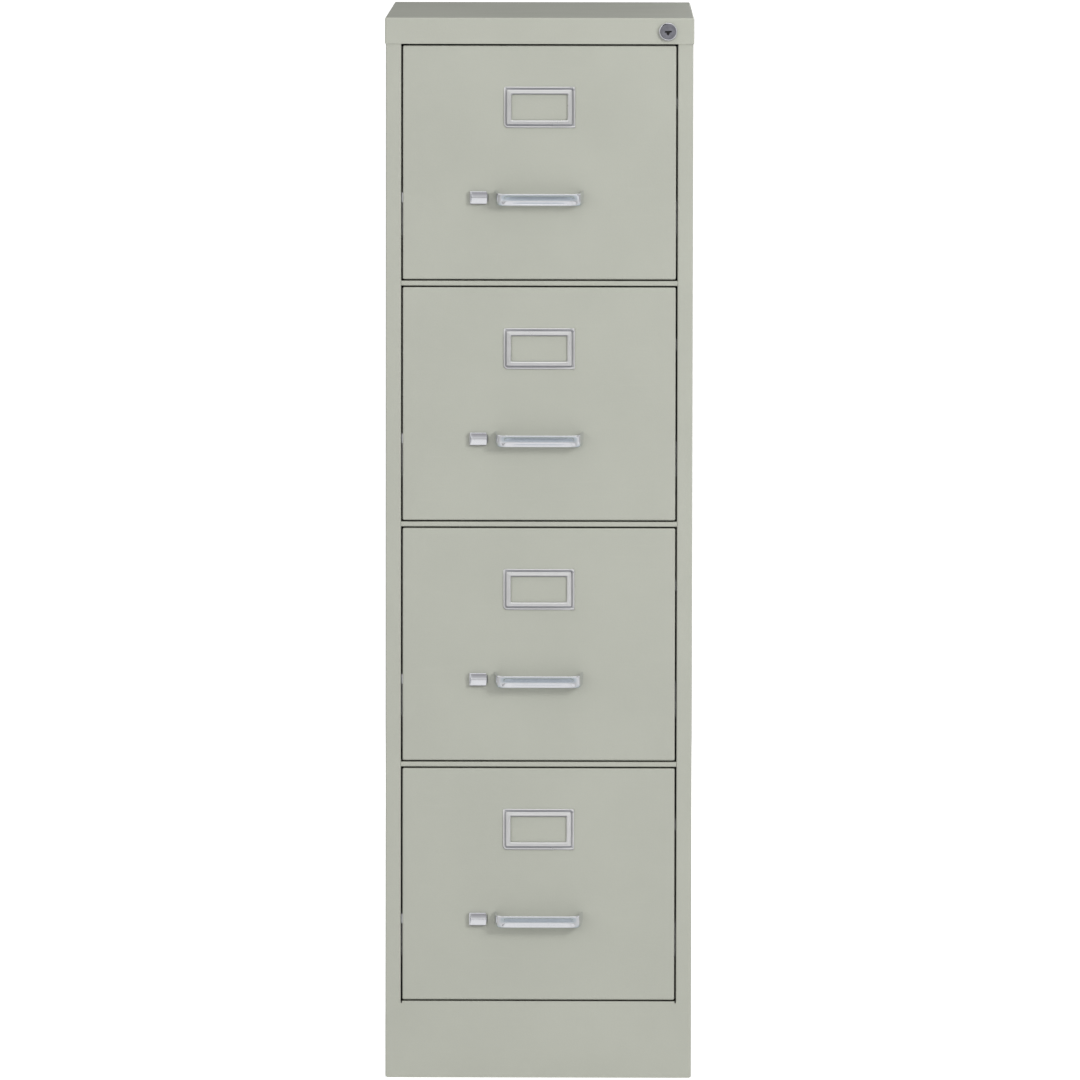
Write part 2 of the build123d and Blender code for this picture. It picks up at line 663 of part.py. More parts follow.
def lock_barrel():
    """Housing with a raised collar, counterbored for the face of the plug."""
    collar = rod(LOCK_RING_RADIUS, lock_point(-LOCK_RING_REACH), (0, 1, 0), LOCK_RING_REACH)
    edge = collar.edges().filter_by(GeomType.CIRCLE).sort_by(Axis.Y)[0]
    collar = fillet(edge, SHEET)
    barrel = collar + rod(LOCK_BODY_RADIUS, lock_point(-SHEET), (0, 1, 0), LOCK_BODY_LENGTH + SHEET)
    counterbore_start = lock_point(-LOCK_RING_REACH - 1)
    barrel -= rod(LOCK_FACE_RADIUS + LOCK_FIT, counterbore_start, (0, 1, 0), LOCK_FACE_DEPTH + 1)
    bore_length = LOCK_BODY_LENGTH + LOCK_RING_REACH + 1
    return barrel - rod(LOCK_SHAFT_RADIUS + LOCK_FIT, lock_point(-LOCK_RING_REACH), (0, 1, 0), bore_length)


def lock_nut():
    outline = RegularPolygon(LOCK_NUT_FLATS / 2, 6, major_radius=False, rotation=30)
    nut = outline - Circle(LOCK_BODY_RADIUS + LOCK_FIT)
    return from_front(Pos(LOCK_X, LOCK_Z) * nut, FRONT, FRONT + LOCK_NUT_THICKNESS)


def lock_plug():
    """Turning plug: a face with the keyway, and a shaft through the barrel."""
    face_start = lock_point(-LOCK_RING_REACH + LOCK_FIT)
    face_length = LOCK_FACE_DEPTH - 2 * LOCK_FIT
    plug = rod(LOCK_FACE_RADIUS, face_start, (0, 1, 0), face_length)
    plug += rod(LOCK_SHAFT_RADIUS, face_start, (0, 1, 0), CAM_FRONT - face_start[1])
    width, height, depth = KEYWAY
    slot = Pos(LOCK_X, LOCK_Z) * Rectangle(width, height)
    point = Pos(LOCK_X, LOCK_Z) * make_face(
        Polyline((-height, 0), (height, 0), (0, -KEYWAY_POINT), close=True)
    )
    return plug - from_front(slot + point, face_start[1] - 1, face_start[1] + depth)


def cam_pin_point(y):
    """Centre of the cam's pin at rest."""
    arm = Vector(CAM_RADIUS, 0).rotate(Axis.Z, CAM_REST_ANGLE)
    return (LOCK_X + arm.X, y, LOCK_Z + arm.Y)


def lock_cam():
    """Cam on the back of the plug, with the pin that lifts the lock bar."""
    hub = rod(CAM_HUB_RADIUS, (LOCK_X, CAM_FRONT, LOCK_Z), (0, 1, 0), CAM_THICKNESS)
    eye = rod(CAM_EYE_RADIUS, cam_pin_point(CAM_FRONT), (0, 1, 0), CAM_THICKNESS)
    pin = rod(CAM_PIN_RADIUS, cam_pin_point(CAM_FRONT), (0, 1, 0), CAM_THICKNESS + CAM_PIN_LENGTH)
    return hub + eye + pin


def lock_bar():
    """Gang bar in the right post, with a slotted yoke welded to its top and a hook for each drawer."""
    y_span = (BAR_FRONT, BAR_BACK)
    pin_z = cam_pin_point(0)[2]
    yoke_z = (pin_z - YOKE_HALF_HEIGHT, pin_z + YOKE_HALF_HEIGHT)
    slot_half = CAM_PIN_RADIUS + YOKE_CLEARANCE
    slot = block(YOKE_SLOT_X, (BAR_FRONT - 1, BAR_BACK + 1), (pin_z - slot_half, pin_z + slot_half))
    pieces = [block(BAR_X, y_span, (BAR_BOTTOM, yoke_z[0])), block(YOKE_X, y_span, yoke_z) - slot]
    for number in range(1, DRAWERS + 1):
        hook_top = drawer_bottom(number) + CATCH_LEVEL - CATCH_CLEARANCE
        pieces.append(block((HOOK_TIP, BAR_X[0]), y_span, (hook_top - HOOK_HEIGHT, hook_top)))
    return pieces


def lock_guides():
    """Folded clips on the right wall that the lock bar slides in."""
    reach = BAR_THICKNESS / 2 + GUIDE_CLEARANCE + HALF_SHEET
    middle = (BAR_FRONT + BAR_BACK) / 2
    wall_x = WALL_INSIDE - HALF_SHEET
    section = [
        (BAR_X[0] - 1, middle - reach),
        (wall_x, middle - reach),
        (wall_x, middle + reach),
        (BAR_X[0] - 1, middle + reach),
    ]
    face = sheet_face(section, radius=BEND_RADIUS / 2)
    return [in_plan(face, level, level + GUIDE_HEIGHT) for level in GUIDE_LEVELS]


# ---------------------------------------------------------------- files
def save(name, shape):
    """Write one sub-part, a solid or a list of solids, to its own file."""
    pieces = shape if isinstance(shape, list) else [shape]
    solids = [solid for piece in pieces for solid in piece.solids()]
    model = solids[0] if len(solids) == 1 else Compound(children=solids)
    export_step(model, f"parts/{name}.step")


os.makedirs("parts", exist_ok=True)

CASE_PIECES = {
    "side_panel_left": side_panel_left,
    "side_panel_right": side_panel,
    "back_panel": back_panel,
    "top_cap": top_cap,
    "base_panel": base_panel,
    "bottom_pan": bottom_pan,
    "cross_rails": cross_rails,
    "slide_uprights": slide_uprights,
    "slide_case_members": slide_case_members,
    "latch_strikes": latch_strikes,
    "lock_barrel": lock_barrel,
    "lock_nut": lock_nut,
    "lock_plug": lock_plug,
    "lock_cam": lock_cam,
    "lock_bar": lock_bar,
    "lock_guides": lock_guides,
}

DRAWER_PIECES = {
    "front": drawer_front,
    "liner": drawer_liner,
    "tub": drawer_tub,
    "back": drawer_back,
    "pull": pull,
    "pull_screws": pull_screws,
    "label_holder": label_holder,
    "latch_button": latch_button,
    "latch_slide": latch_slide,
    "mid_rails": mid_rails,
    "inner_rails": inner_rails,
}

for piece_name, make_piece in CASE_PIECES.items():
    save(piece_name, make_piece())

for drawer in range(1, DRAWERS + 1):
    for piece_name, make_piece in DRAWER_PIECES.items():
        save(f"drawer_{drawer}_{piece_name}", make_piece(drawer))
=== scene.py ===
import json
import math

import bmesh
import bpy
from mathutils import Matrix, Vector


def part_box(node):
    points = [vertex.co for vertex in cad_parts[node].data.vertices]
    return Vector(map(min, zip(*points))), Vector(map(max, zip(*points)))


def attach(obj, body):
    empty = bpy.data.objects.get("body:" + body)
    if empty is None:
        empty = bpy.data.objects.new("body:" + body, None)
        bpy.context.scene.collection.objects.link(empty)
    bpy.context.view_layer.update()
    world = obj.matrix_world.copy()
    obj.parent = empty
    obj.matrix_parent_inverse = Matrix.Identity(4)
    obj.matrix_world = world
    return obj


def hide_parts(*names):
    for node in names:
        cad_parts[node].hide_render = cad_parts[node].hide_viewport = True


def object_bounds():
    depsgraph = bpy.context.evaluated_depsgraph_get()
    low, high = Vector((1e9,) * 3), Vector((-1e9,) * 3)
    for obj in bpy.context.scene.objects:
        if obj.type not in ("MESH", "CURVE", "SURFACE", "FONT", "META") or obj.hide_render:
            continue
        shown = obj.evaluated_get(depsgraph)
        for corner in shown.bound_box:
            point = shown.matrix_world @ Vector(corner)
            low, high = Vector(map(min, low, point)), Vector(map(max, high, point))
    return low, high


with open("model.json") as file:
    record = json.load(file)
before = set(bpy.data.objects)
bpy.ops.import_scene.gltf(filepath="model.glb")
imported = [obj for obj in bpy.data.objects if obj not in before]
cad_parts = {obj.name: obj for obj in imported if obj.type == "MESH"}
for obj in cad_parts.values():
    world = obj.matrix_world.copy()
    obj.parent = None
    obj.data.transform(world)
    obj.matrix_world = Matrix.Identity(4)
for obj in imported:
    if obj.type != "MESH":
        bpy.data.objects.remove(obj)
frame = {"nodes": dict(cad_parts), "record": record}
cad_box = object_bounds()

# Looks of the four-drawer steel file cabinet. Metres, in the CAD's frame: +X right, front towards -Y.
MM = 0.001
DRAWERS = range(1, 5)

# ---------------------------------------------------------------- sizes of the pull, in millimetres
PULL_END_HALF = 55.3
PULL_BAR_HALF = 52.2
PULL_REACH = 23.4
# the bar's top lies below the pull's top, and the legs' tops stand above it where they meet the drawer
PULL_EAR_DROP = 1.9
PULL_EAR_RISE = 1.6
PULL_EAR_CURVE = 1.6
PULL_LEG_HEIGHT = 15.5
# one level of the pull each: share of the height, setback from the lip along the bar and at the ends,
# inset from the end, corner radius
PULL_LEVELS = (
    (0.00, 0.7, 0.7, 0.6, 11.5), (0.03, 0.2, 0.2, 0.15, 12.0), (0.09, 0.0, 0.0, 0.0, 12.0),
    (0.14, 0.3, 0.0, 0.0, 12.0), (0.21, 1.5, 0.0, 0.0, 12.0), (0.32, 3.9, 0.2, 0.0, 12.0),
    (0.44, 6.5, 0.5, 0.0, 11.5), (0.53, 7.9, 0.8, 0.0, 11.0), (0.61, 8.4, 1.1, 0.1, 10.5),
    (0.68, 8.2, 1.4, 0.2, 10.0), (0.79, 7.3, 1.9, 0.4, 9.5), (0.90, 6.3, 2.5, 0.9, 9.0),
    (0.97, 5.7, 3.3, 1.6, 8.5), (1.00, 6.1, 4.4, 2.6, 8.0), (1.00, 7.6, 6.0, 3.8, 7.5),
    (0.96, 8.8, 7.4, 4.8, 7.0), (0.85, 9.9, 7.8, 4.8, 7.0), (0.61, 11.7, 6.8, 4.0, 7.0),
    (0.44, 10.0, 5.2, 3.5, 7.5), (0.28, 6.8, 4.0, 3.3, 8.0), (0.14, 4.1, 3.3, 3.1, 8.5),
    (0.03, 3.2, 3.0, 3.0, 9.0), (0.00, 2.2, 2.2, 2.0, 10.0),
)
# distance from the middle where the channel starts to close, and where it has closed
PULL_CHANNEL_END = (39.0, 50.0)
PULL_LEG_STATIONS = (0.04, 0.3, 0.65)
PULL_BAR_STATIONS = (0.05, 0.28, 0.5, 0.72, 0.95)
PULL_ARC_STEPS = 6
# foot against the drawer: inset from the leg's outside, width, thickness, edge rounding, top and bottom
PULL_FOOT_INSET = 1.8
PULL_FOOT = (12.0, 3.0)
PULL_FOOT_EDGE = 0.6
PULL_FOOT_DROPS = (5.5, 13.0)
PULL_BOSS_X = 48.5
PULL_BOSS_DROP = 8.0
PULL_BOSS_SEGMENTS = 28
# screw boss and screw, as (radius, distance in front of the drawer)
PULL_BOSS = (
    (0.01, 10.6), (2.6, 10.6), (3.3, 10.1), (3.6, 9.2),
    (3.8, 3.2), (4.6, 2.6), (4.6, 0.05), (0.01, 0.05),
)

# ---------------------------------------------------------------- sizes of the latch button, in millimetres
LATCH_GAP = 0.3
LATCH_EDGE = 0.35
LATCH_CREST = 0.5
LATCH_BACK_EDGE = 0.6
LATCH_SCOOP = 1.9
LATCH_SCOOP_START = 1.1
LATCH_SCOOP_RUN = 1.2
LATCH_RIM = 1.8
LATCH_RIM_FOOT = 2.7
LATCH_RIGHT_EDGE = 1.2
# shares of the width in the scoop's middle, shares of the height down its face, and share of each lip
LATCH_MIDDLE = (0.4, 0.7)
LATCH_SHARES = (0.0, 0.03, 0.075, 0.11, 0.2, 0.35, 0.5, 0.65, 0.8, 0.92, 0.97, 1.0)
LATCH_LIP = 0.08
# stem behind the button: its two ends from the button's left, half its height, its start and its rounding
LATCH_STEM = (3.8, 14.3, 4.0)
LATCH_STEM_START = 0.5
LATCH_STEM_EDGE = 0.4

# ---------------------------------------------------------------- sizes of the label frame, in millimetres
# inset from the outer edge and rise from the drawer, round the frame's section
LABEL_SECTION = (
    (0.0, 0.05), (0.0, 0.8), (0.3, 1.35), (0.9, 1.65), (1.6, 1.6), (2.1, 1.2),
    (2.5, 0.6), (3.0, 0.35), (3.5, 0.5), (3.8, 1.5), (4.2, 2.3), (4.8, 2.6),
    (6.0, 2.7), (7.2, 2.75), (7.8, 3.0), (8.4, 2.95), (9.2, 2.4), (9.8, 1.5),
    (9.95, 0.9), (9.9, 0.5), (9.2, 0.4), (7.0, 0.8), (4.6, 0.8), (3.9, 0.05),
)
# corner radii from the upper right round to the lower right, and which of them the bead is notched at
LABEL_CORNERS = (2.0, 2.8, 5.7, 2.0)
LABEL_CORNER_LEAST = 1.3
LABEL_CORNER_STEPS = 6
LABEL_NOTCHED = (0, 1, 3)
LABEL_NOTCH_RISE = 0.25
LABEL_BEAD = 2.7
# span of insets where shade is painted into the groove and at the edges, and how much
LABEL_CREVICE_SHADE = ((2.4, 3.9, 0.45), (9.9, 10.0, 0.7), (0.0, 0.05, 0.3))
# corners of the upper and the lower folded tab at the right, from the frame's outer corner inwards
LABEL_TABS = (
    (1, ((0.3, 0.3), (6.6, 0.3), (4.6, 1.4), (1.7, 5.6), (0.3, 3.4))),
    (-1, ((0.3, 0.4), (4.4, 0.4), (2.6, 1.7), (0.9, 3.0), (0.3, 1.7))),
)
# layers of a tab: rise from the drawer and share of the tab's outline
LABEL_TAB_LAYERS = ((0.3, 1.0), (1.9, 0.94), (2.5, 0.72))

# ---------------------------------------------------------------- sizes of the lock, in millimetres
LOCK_SEGMENTS = 72
AXIS_RADIUS = 0.001
# angles between which the collar's inner edge is notched
COLLAR_NOTCH = (100.0, 132.0)
COLLAR_FOOT = 0.6
# collar's rim from its outside inwards: inset, setback from its front, and how much the notch widens it
COLLAR_RIM = (
    (0.0, 1.3, 0.0), (0.3, 0.4, 0.0), (0.9, 0.0, 0.0), (1.35, 0.0, 0.3),
    (1.7, 0.3, 0.9), (1.75, 1.2, 0.9), (1.75, 2.7, 0.9),
)
COLLAR_FLOOR = 2.8
BARREL_BORE = 6.1
BARREL_INSET = 2.0
CAP_CLEARANCE = 0.02
# plug's face as (radius, depth), then its rim as (inset, depth), then its shaft
PLUG_DISH = ((AXIS_RADIUS, 0.25), (3.0, 0.25), (6.5, 0.15))
PLUG_RIM = ((1.3, 0.1), (0.6, 0.05), (0.15, 0.3), (0.0, 0.8), (0.0, 2.6))
PLUG_SHAFT = (6.0, 2.65)
# keyway's outline about the middle of the plug, and where its cutter starts and ends
KEYWAY_OUTLINE = (
    (-4.5, -1.495), (-2.25, -1.15), (-1.62, -3.36), (0.2, -4.8), (1.62, -2.88),
    (2.025, -1.15), (4.5, -0.69), (4.5, 1.15), (-3.6, 0.92),
)
KEYWAY_DEPTHS = (-2.0, 2.2)

# ---------------------------------------------------------------- camera framing
# distance of the camera, and how high the lid's surface looks on the front's plane, in metres
CAMERA_DISTANCE = 14.0
CAMERA_RISE = 0.0194
# sidestep as a share of the distance
CAMERA_SIDE = 0.0053
# margins above and below the cabinet and its shift to the side, as shares of the picture
HEADROOM = 0.0164
FOOTROOM = 0.0021
SIDE_SHIFT = -0.0002
# roll in radians, sensor width in millimetres, far clip in metres
CAMERA_ROLL = 0.0015
SENSOR = 36.0
CLIP_END = 600.0

# ---------------------------------------------------------------- studio
FLOOR_HALF = 250.0
FLOOR_GLOW = 0.68
FLOOR_WHITE = 0.78
# direction of the brightest sky, and its brightness from straight away to that direction
SKY_AXIS = (0.20, -0.78, 0.59)
SKY_STOPS = [(0.0, 0.12), (0.42, 0.22), (0.68, 0.40), (0.85, 0.66), (0.95, 0.86), (1.0, 0.90)]
# panels at the sides: their brightness from the left to the right, and where they cover the sky
PANEL_STOPS = [(0.0, 0.85), (0.3, 0.85), (0.60, 0.14), (0.92, 0.14), (0.96, 0.85), (1.0, 0.85)]
PANEL_EDGES = [(0.17, 1.0), (0.30, 0.0), (0.86, 0.0), (0.96, 1.0)]
# name, place, target, size, power in watts, and whether the steel mirrors it
LIGHTS = (
    ("key", (2.6, -3.4, 2.3), (0.0, -0.3, 0.6), (1.2, 1.2), 69.0, False),
    ("strip", (0.4, -1.0, 3.2), (0.0, -0.33, 0.9), (1.8, 0.5), 4.0, True),
    ("fill", (-2.6, -3.2, 1.0), (0.0, -0.3, 0.65), (2.4, 2.0), 12.0, False),
    ("rear", (1.4, 3.6, 1.1), (0.0, 0.3, 0.6), (2.4, 1.6), 45.0, True),
)


# ---------------------------------------------------------------- node helpers
def new_material(name):
    """A material with a Principled shader, and the tools to build its nodes."""
    material = bpy.data.materials.new(name)
    material.use_nodes = True
    return material, material.node_tree, material.node_tree.nodes["Principled BSDF"]


def node(tree, kind, **values):
    """New node, with its sockets or its settings filled in by name."""
    made = tree.nodes.new(kind)
    for key, value in values.items():
        if key in made.inputs:
            made.inputs[key].default_value = value
        else:
            setattr(made, key, value)
    return made


def place(tree, scale=(1.0, 1.0, 1.0)):
    """Coordinates in metres in the object's own space, stretched by scale."""
    coordinates = node(tree, "ShaderNodeTexCoord")
    mapping = node(tree, "ShaderNodeMapping", Scale=scale)
    tree.links.new(coordinates.outputs["Object"], mapping.inputs["Vector"])
    return mapping.outputs["Vector"]


def noise(tree, vector, scale, detail, roughness=0.5):
    """Noise from 0 to 1 at the given place."""
    made = node(tree, "ShaderNodeTexNoise", Scale=scale, Detail=detail, Roughness=roughness)
    tree.links.new(vector, made.inputs["Vector"])
    return made.outputs["Fac"]


def ramp(tree, value, stops):
    """Colour ramp through (position, colour) stops. A colour may be a single grey number."""
    made = node(tree, "ShaderNodeValToRGB")
    elements = made.color_ramp.elements
    while len(elements) < len(stops):
        elements.new(0.5)
    for element, (position, colour) in zip(elements, stops):
        element.position = position
        grey = (colour, colour, colour) if isinstance(colour, float) else colour
        element.color = (*grey, 1.0)
    tree.links.new(value, made.inputs["Fac"])
    return made.outputs["Color"]


def mix(tree, factor, first, second, blend="MIX"):
    """Mix of two colours. The factor and the colours are values or outputs."""
    made = node(tree, "ShaderNodeMix", data_type="RGBA", blend_type=blend)
    factor_socket, first_socket, second_socket = 0, 6, 7
    for socket, value in ((factor_socket, factor), (first_socket, first), (second_socket, second)):
        if isinstance(value, bpy.types.NodeSocket):
            tree.links.new(value, made.inputs[socket])
        elif socket == factor_socket:
            made.inputs[socket].default_value = value
        else:
            made.inputs[socket].default_value = (*value, 1.0)
    return made.outputs[2]


def add_bump(tree, shader, heights):
    """Chain of bumps from (height output, strength, distance in metres)."""
    last = None
    for height, strength, distance in heights:
        made = node(tree, "ShaderNodeBump", Strength=strength, Distance=distance)
        tree.links.new(height, made.inputs["Height"])
        if last:
            tree.links.new(last, made.inputs["Normal"])
        last = made.outputs["Normal"]
    tree.links.new(last, shader.inputs["Normal"])


def scaled(colour, factor):
    """Colour made darker or lighter."""
    return tuple(channel * factor for channel in colour)


# ---------------------------------------------------------------- materials
def powder_paint(name, colour):
    """Semi-matt powder coat: fine orange peel, faint mottling, and a few rubbed streaks."""
    material, tree, shader = new_material(name)
    here = place(tree)
    streaked = place(tree, (3.0, 3.0, 60.0))
    mottle = noise(tree, here, scale=9.0, detail=4.0)
    grain = noise(tree, here, scale=900.0, detail=2.0)
    streak = noise(tree, streaked, scale=4.0, detail=5.0, roughness=0.6)
    base = ramp(tree, mottle, [(0.3, scaled(colour, 0.975)), (0.7, scaled(colour, 1.02))])
    specks = ramp(tree, grain, [(0.35, 0.965), (0.65, 1.0)])
    tinted = mix(tree, 1.0, base, specks, "MULTIPLY")
    rubbed = ramp(tree, streak, [(0.58, 0.0), (0.74, 0.35)])
    tree.links.new(mix(tree, rubbed, tinted, scaled(colour, 1.04)), shader.inputs["Base Color"])
    gloss = ramp(tree, streak, [(0.3, 0.40), (0.7, 0.48)])
    tree.links.new(gloss, shader.inputs["Roughness"])
    peel = noise(tree, here, scale=420.0, detail=2.0)
    waves = noise(tree, here, scale=14.0, detail=2.0)
    add_bump(tree, shader, [(waves, 0.12, 0.002), (peel, 0.22, 0.0004)])
    shader.inputs["Specular IOR Level"].default_value = 0.42
    return material


def plated(name, colour, low, high, down_shade):
    """Bright plating, its roughness from low to high. What faces down is painted in a darker colour, a
    painted dark reflection, and marked creases get painted shade.
    """
    material, tree, shader = new_material(name)
    here = place(tree)
    haze = noise(tree, here, scale=60.0, detail=5.0, roughness=0.6)
    fine = noise(tree, here, scale=700.0, detail=3.0)
    facing = node(tree, "ShaderNodeSeparateXYZ")
    geometry = node(tree, "ShaderNodeNewGeometry")
    tree.links.new(geometry.outputs["Normal"], facing.inputs["Vector"])
    # the more a face points down, the more it is painted in the darker colour: painted dark reflection
    lifted = node(tree, "ShaderNodeMapRange")
    tree.links.new(facing.outputs["Z"], lifted.inputs["Value"])
    lifted.inputs["From Min"].default_value = -0.45
    lifted.inputs["From Max"].default_value = -0.08
    clean = ramp(tree, haze, [(0.3, scaled(colour, 0.94)), (0.7, colour)])
    shade = mix(tree, lifted.outputs["Result"], down_shade, clean)
    # painted shade in the creases, read from the mesh's attribute
    crevice_shade = node(tree, "ShaderNodeAttribute", attribute_name="crevice_shade")
    crevice_shaded = mix(tree, crevice_shade.outputs["Fac"], shade, CREVICE_SHADE_COLOUR)
    tree.links.new(crevice_shaded, shader.inputs["Base Color"])
    tree.links.new(ramp(tree, haze, [(0.25, low), (0.75, high)]), shader.inputs["Roughness"])
    add_bump(tree, shader, [(haze, 0.05, 0.0006), (fine, 0.04, 0.00008)])
    shader.inputs["Metallic"].default_value = 1.0
    return material


def turned_metal(name, colour, centre):
    """Satin metal with fine rings about an axis along Y through the centre."""
    material, tree, shader = new_material(name)
    coordinates = node(tree, "ShaderNodeTexCoord")
    shifted = node(tree, "ShaderNodeMapping", Location=(-centre.x, -centre.y, -centre.z))
    tree.links.new(coordinates.outputs["Object"], shifted.inputs["Vector"])
    rings = node(tree, "ShaderNodeTexWave", Scale=900.0, Distortion=1.5)
    rings.wave_type = "RINGS"
    rings.rings_direction = "Y"
    tree.links.new(shifted.outputs["Vector"], rings.inputs["Vector"])
    cloud = noise(tree, shifted.outputs["Vector"], scale=220.0, detail=4.0)
    base = ramp(tree, cloud, [(0.3, scaled(colour, 0.8)), (0.7, scaled(colour, 1.1))])
    tree.links.new(base, shader.inputs["Base Color"])
    tree.links.new(ramp(tree, cloud, [(0.3, 0.28), (0.7, 0.42)]), shader.inputs["Roughness"])
    add_bump(tree, shader, [(rings.outputs["Fac"], 0.08, 0.0001), (cloud, 0.1, 0.0002)])
    shader.inputs["Metallic"].default_value = 1.0
    return material


def zinc_plate(name, colour):
    """Bright zinc plate with rolling marks along the steel and a cloudy passivation."""
    material, tree, shader = new_material(name)
    here = place(tree)
    along = place(tree, (60.0, 2.0, 60.0))
    cloud = noise(tree, here, scale=28.0, detail=5.0, roughness=0.6)
    rolled = noise(tree, along, scale=12.0, detail=4.0)
    tint = ramp(tree, cloud, [(0.3, scaled(colour, 0.86)), (0.55, colour), (0.8, scaled(colour, 1.05))])
    lines = ramp(tree, rolled, [(0.3, 0.9), (0.7, 1.0)])
    tree.links.new(mix(tree, 1.0, tint, lines, "MULTIPLY"), shader.inputs["Base Color"])
    tree.links.new(ramp(tree, cloud, [(0.3, 0.3), (0.7, 0.44)]), shader.inputs["Roughness"])
    add_bump(tree, shader, [(rolled, 0.08, 0.0003), (cloud, 0.06, 0.0004)])
    shader.inputs["Metallic"].default_value = 0.9
    return material


# ---------------------------------------------------------------- mesh helpers
def mesh_object(name, mesh, material, levels=0):
    """Link a mesh as a smooth object with its material and an optional subdivision."""
    piece = bpy.data.objects.new(name, mesh)
    bpy.context.scene.collection.objects.link(piece)
    mesh.materials.append(material)
    for polygon in mesh.polygons:
        polygon.use_smooth = True
    if levels:
        subdivision = piece.modifiers.new("subdivision", "SUBSURF")
        subdivision.levels = levels
        subdivision.render_levels = levels
    return piece


def loft(rings, closed=False):
    """Mesh through rings with the same number of points. An open loft gets a cap at each end."""
    made = bmesh.new()
    rows = [[made.verts.new(point) for point in ring] for ring in rings]
    count = len(rows[0])
    pairs = list(zip(rows, rows[1:] + rows[:1])) if closed else list(zip(rows, rows[1:]))
    for row, after in pairs:
        for index in range(count):
            nearby = (index + 1) % count
            made.faces.new((row[index], row[nearby], after[nearby], after[index]))
    if not closed:
        made.faces.new(rows[0][::-1])
        made.faces.new(rows[-1])
    bmesh.ops.recalc_face_normals(made, faces=made.faces)
    mesh = bpy.data.meshes.new("loft")
    made.to_mesh(mesh)
    made.free()
    return mesh


def rounded_path(points, radius, steps):
    """Open 2D path through the points, its inner corners replaced by arcs of a number of steps."""
    corners = [Vector(point) for point in points]
    path = [corners[0]]
    for before, corner, after in zip(corners, corners[1:], corners[2:]):
        step_in = (corner - before).normalized()
        step_out = (after - corner).normalized()
        angle = step_in.angle_signed(step_out)
        reach = radius * math.tan(abs(angle) / 2)
        side = -1 if angle > 0 else 1
        centre = corner - step_in * reach + Vector((-step_in.y, step_in.x)) * radius * side
        for index in range(steps + 1):
            turn = -angle * index / steps
            path.append(centre + Matrix.Rotation(turn, 2) @ (corner - step_in * reach - centre))
    path.append(corners[-1])
    return path


def rounded_block(low, high, bevel):
    """Box with rounded edges between two corners."""
    made = bmesh.new()
    bmesh.ops.create_cube(made, size=1.0)
    for vertex in made.verts:
        for axis in range(3):
            vertex.co[axis] = low[axis] + (vertex.co[axis] + 0.5) * (high[axis] - low[axis])
    bmesh.ops.bevel(made, geom=made.edges[:], offset=bevel, segments=3, profile=0.5, affect="EDGES")
    mesh = bpy.data.meshes.new("block")
    made.to_mesh(mesh)
    made.free()
    return mesh


def lathe(profile, centre, segments, notch=None):
    """Rings about the Y axis through (radius, forward) points in millimetres."""
    rings = []
    for index in range(segments):
        angle = math.radians(360.0 * index / segments)
        is_notched = notch and notch[0] < math.degrees(angle) < notch[1]
        ring = []
        for radius, forward, *opens in profile:
            wide = radius + (opens[0] if is_notched else 0.0)
            x = centre.x + wide * MM * math.cos(angle)
            z = centre.z + wide * MM * math.sin(angle)
            ring.append(Vector((x, centre.y - forward * MM, z)))
        rings.append(ring)
    return loft(rings, closed=True)


def shaped(piece):
    """Apply a piece's modifiers to its mesh."""
    bpy.context.view_layer.update()
    mesh = bpy.data.meshes.new_from_object(piece.evaluated_get(bpy.context.evaluated_depsgraph_get()))
    piece.modifiers.clear()
    piece.data = mesh


def join(piece, meshes):
    """Add more meshes to a piece, smooth and in its first material."""
    made = bmesh.new()
    made.from_mesh(piece.data)
    for mesh in meshes:
        made.from_mesh(mesh)
    for polygon in made.faces:
        polygon.smooth = True
    made.to_mesh(piece.data)
    made.free()


def finished(piece, body, slot, *nodes):
    """Put a detailed piece on its body in place of CAD nodes."""
    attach(piece, body)
    if nodes:
        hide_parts(*nodes)
    return piece


# ---------------------------------------------------------------- pull
def spread(path, index, shares):
    """Points at the given shares of the run between one path point and the next."""
    return [path[index].lerp(path[index + 1], share) for share in shares]


def pull_plan(bar_setback, end_setback, inset, radius):
    """Plan of one level of the pull, as (x, distance in front of the drawer) in millimetres."""
    end = PULL_END_HALF - inset
    bar = PULL_BAR_HALF - inset
    corners = ((-end, 0.0), (-bar, PULL_REACH), (bar, PULL_REACH), (end, 0.0))
    path = rounded_path(corners, radius, PULL_ARC_STEPS)
    bar_start = PULL_ARC_STEPS + 1
    last = len(path) - 2
    points = path[:1] + spread(path, 0, PULL_LEG_STATIONS) + path[1:bar_start + 1]
    points += spread(path, bar_start, PULL_BAR_STATIONS) + path[bar_start + 1:last + 1]
    points += spread(path, last, [1 - share for share in reversed(PULL_LEG_STATIONS)]) + path[-1:]
    near, far = PULL_CHANNEL_END
    plan = []
    for point in points:
        fade = min(1.0, max(0.0, (abs(point.x) - near) / (far - near)))
        fade = fade * fade * (3 - 2 * fade)
        setback = bar_setback + (end_setback - bar_setback) * fade
        plan.append((point.x, point.y * (1 - setback / PULL_REACH)))
    return plan


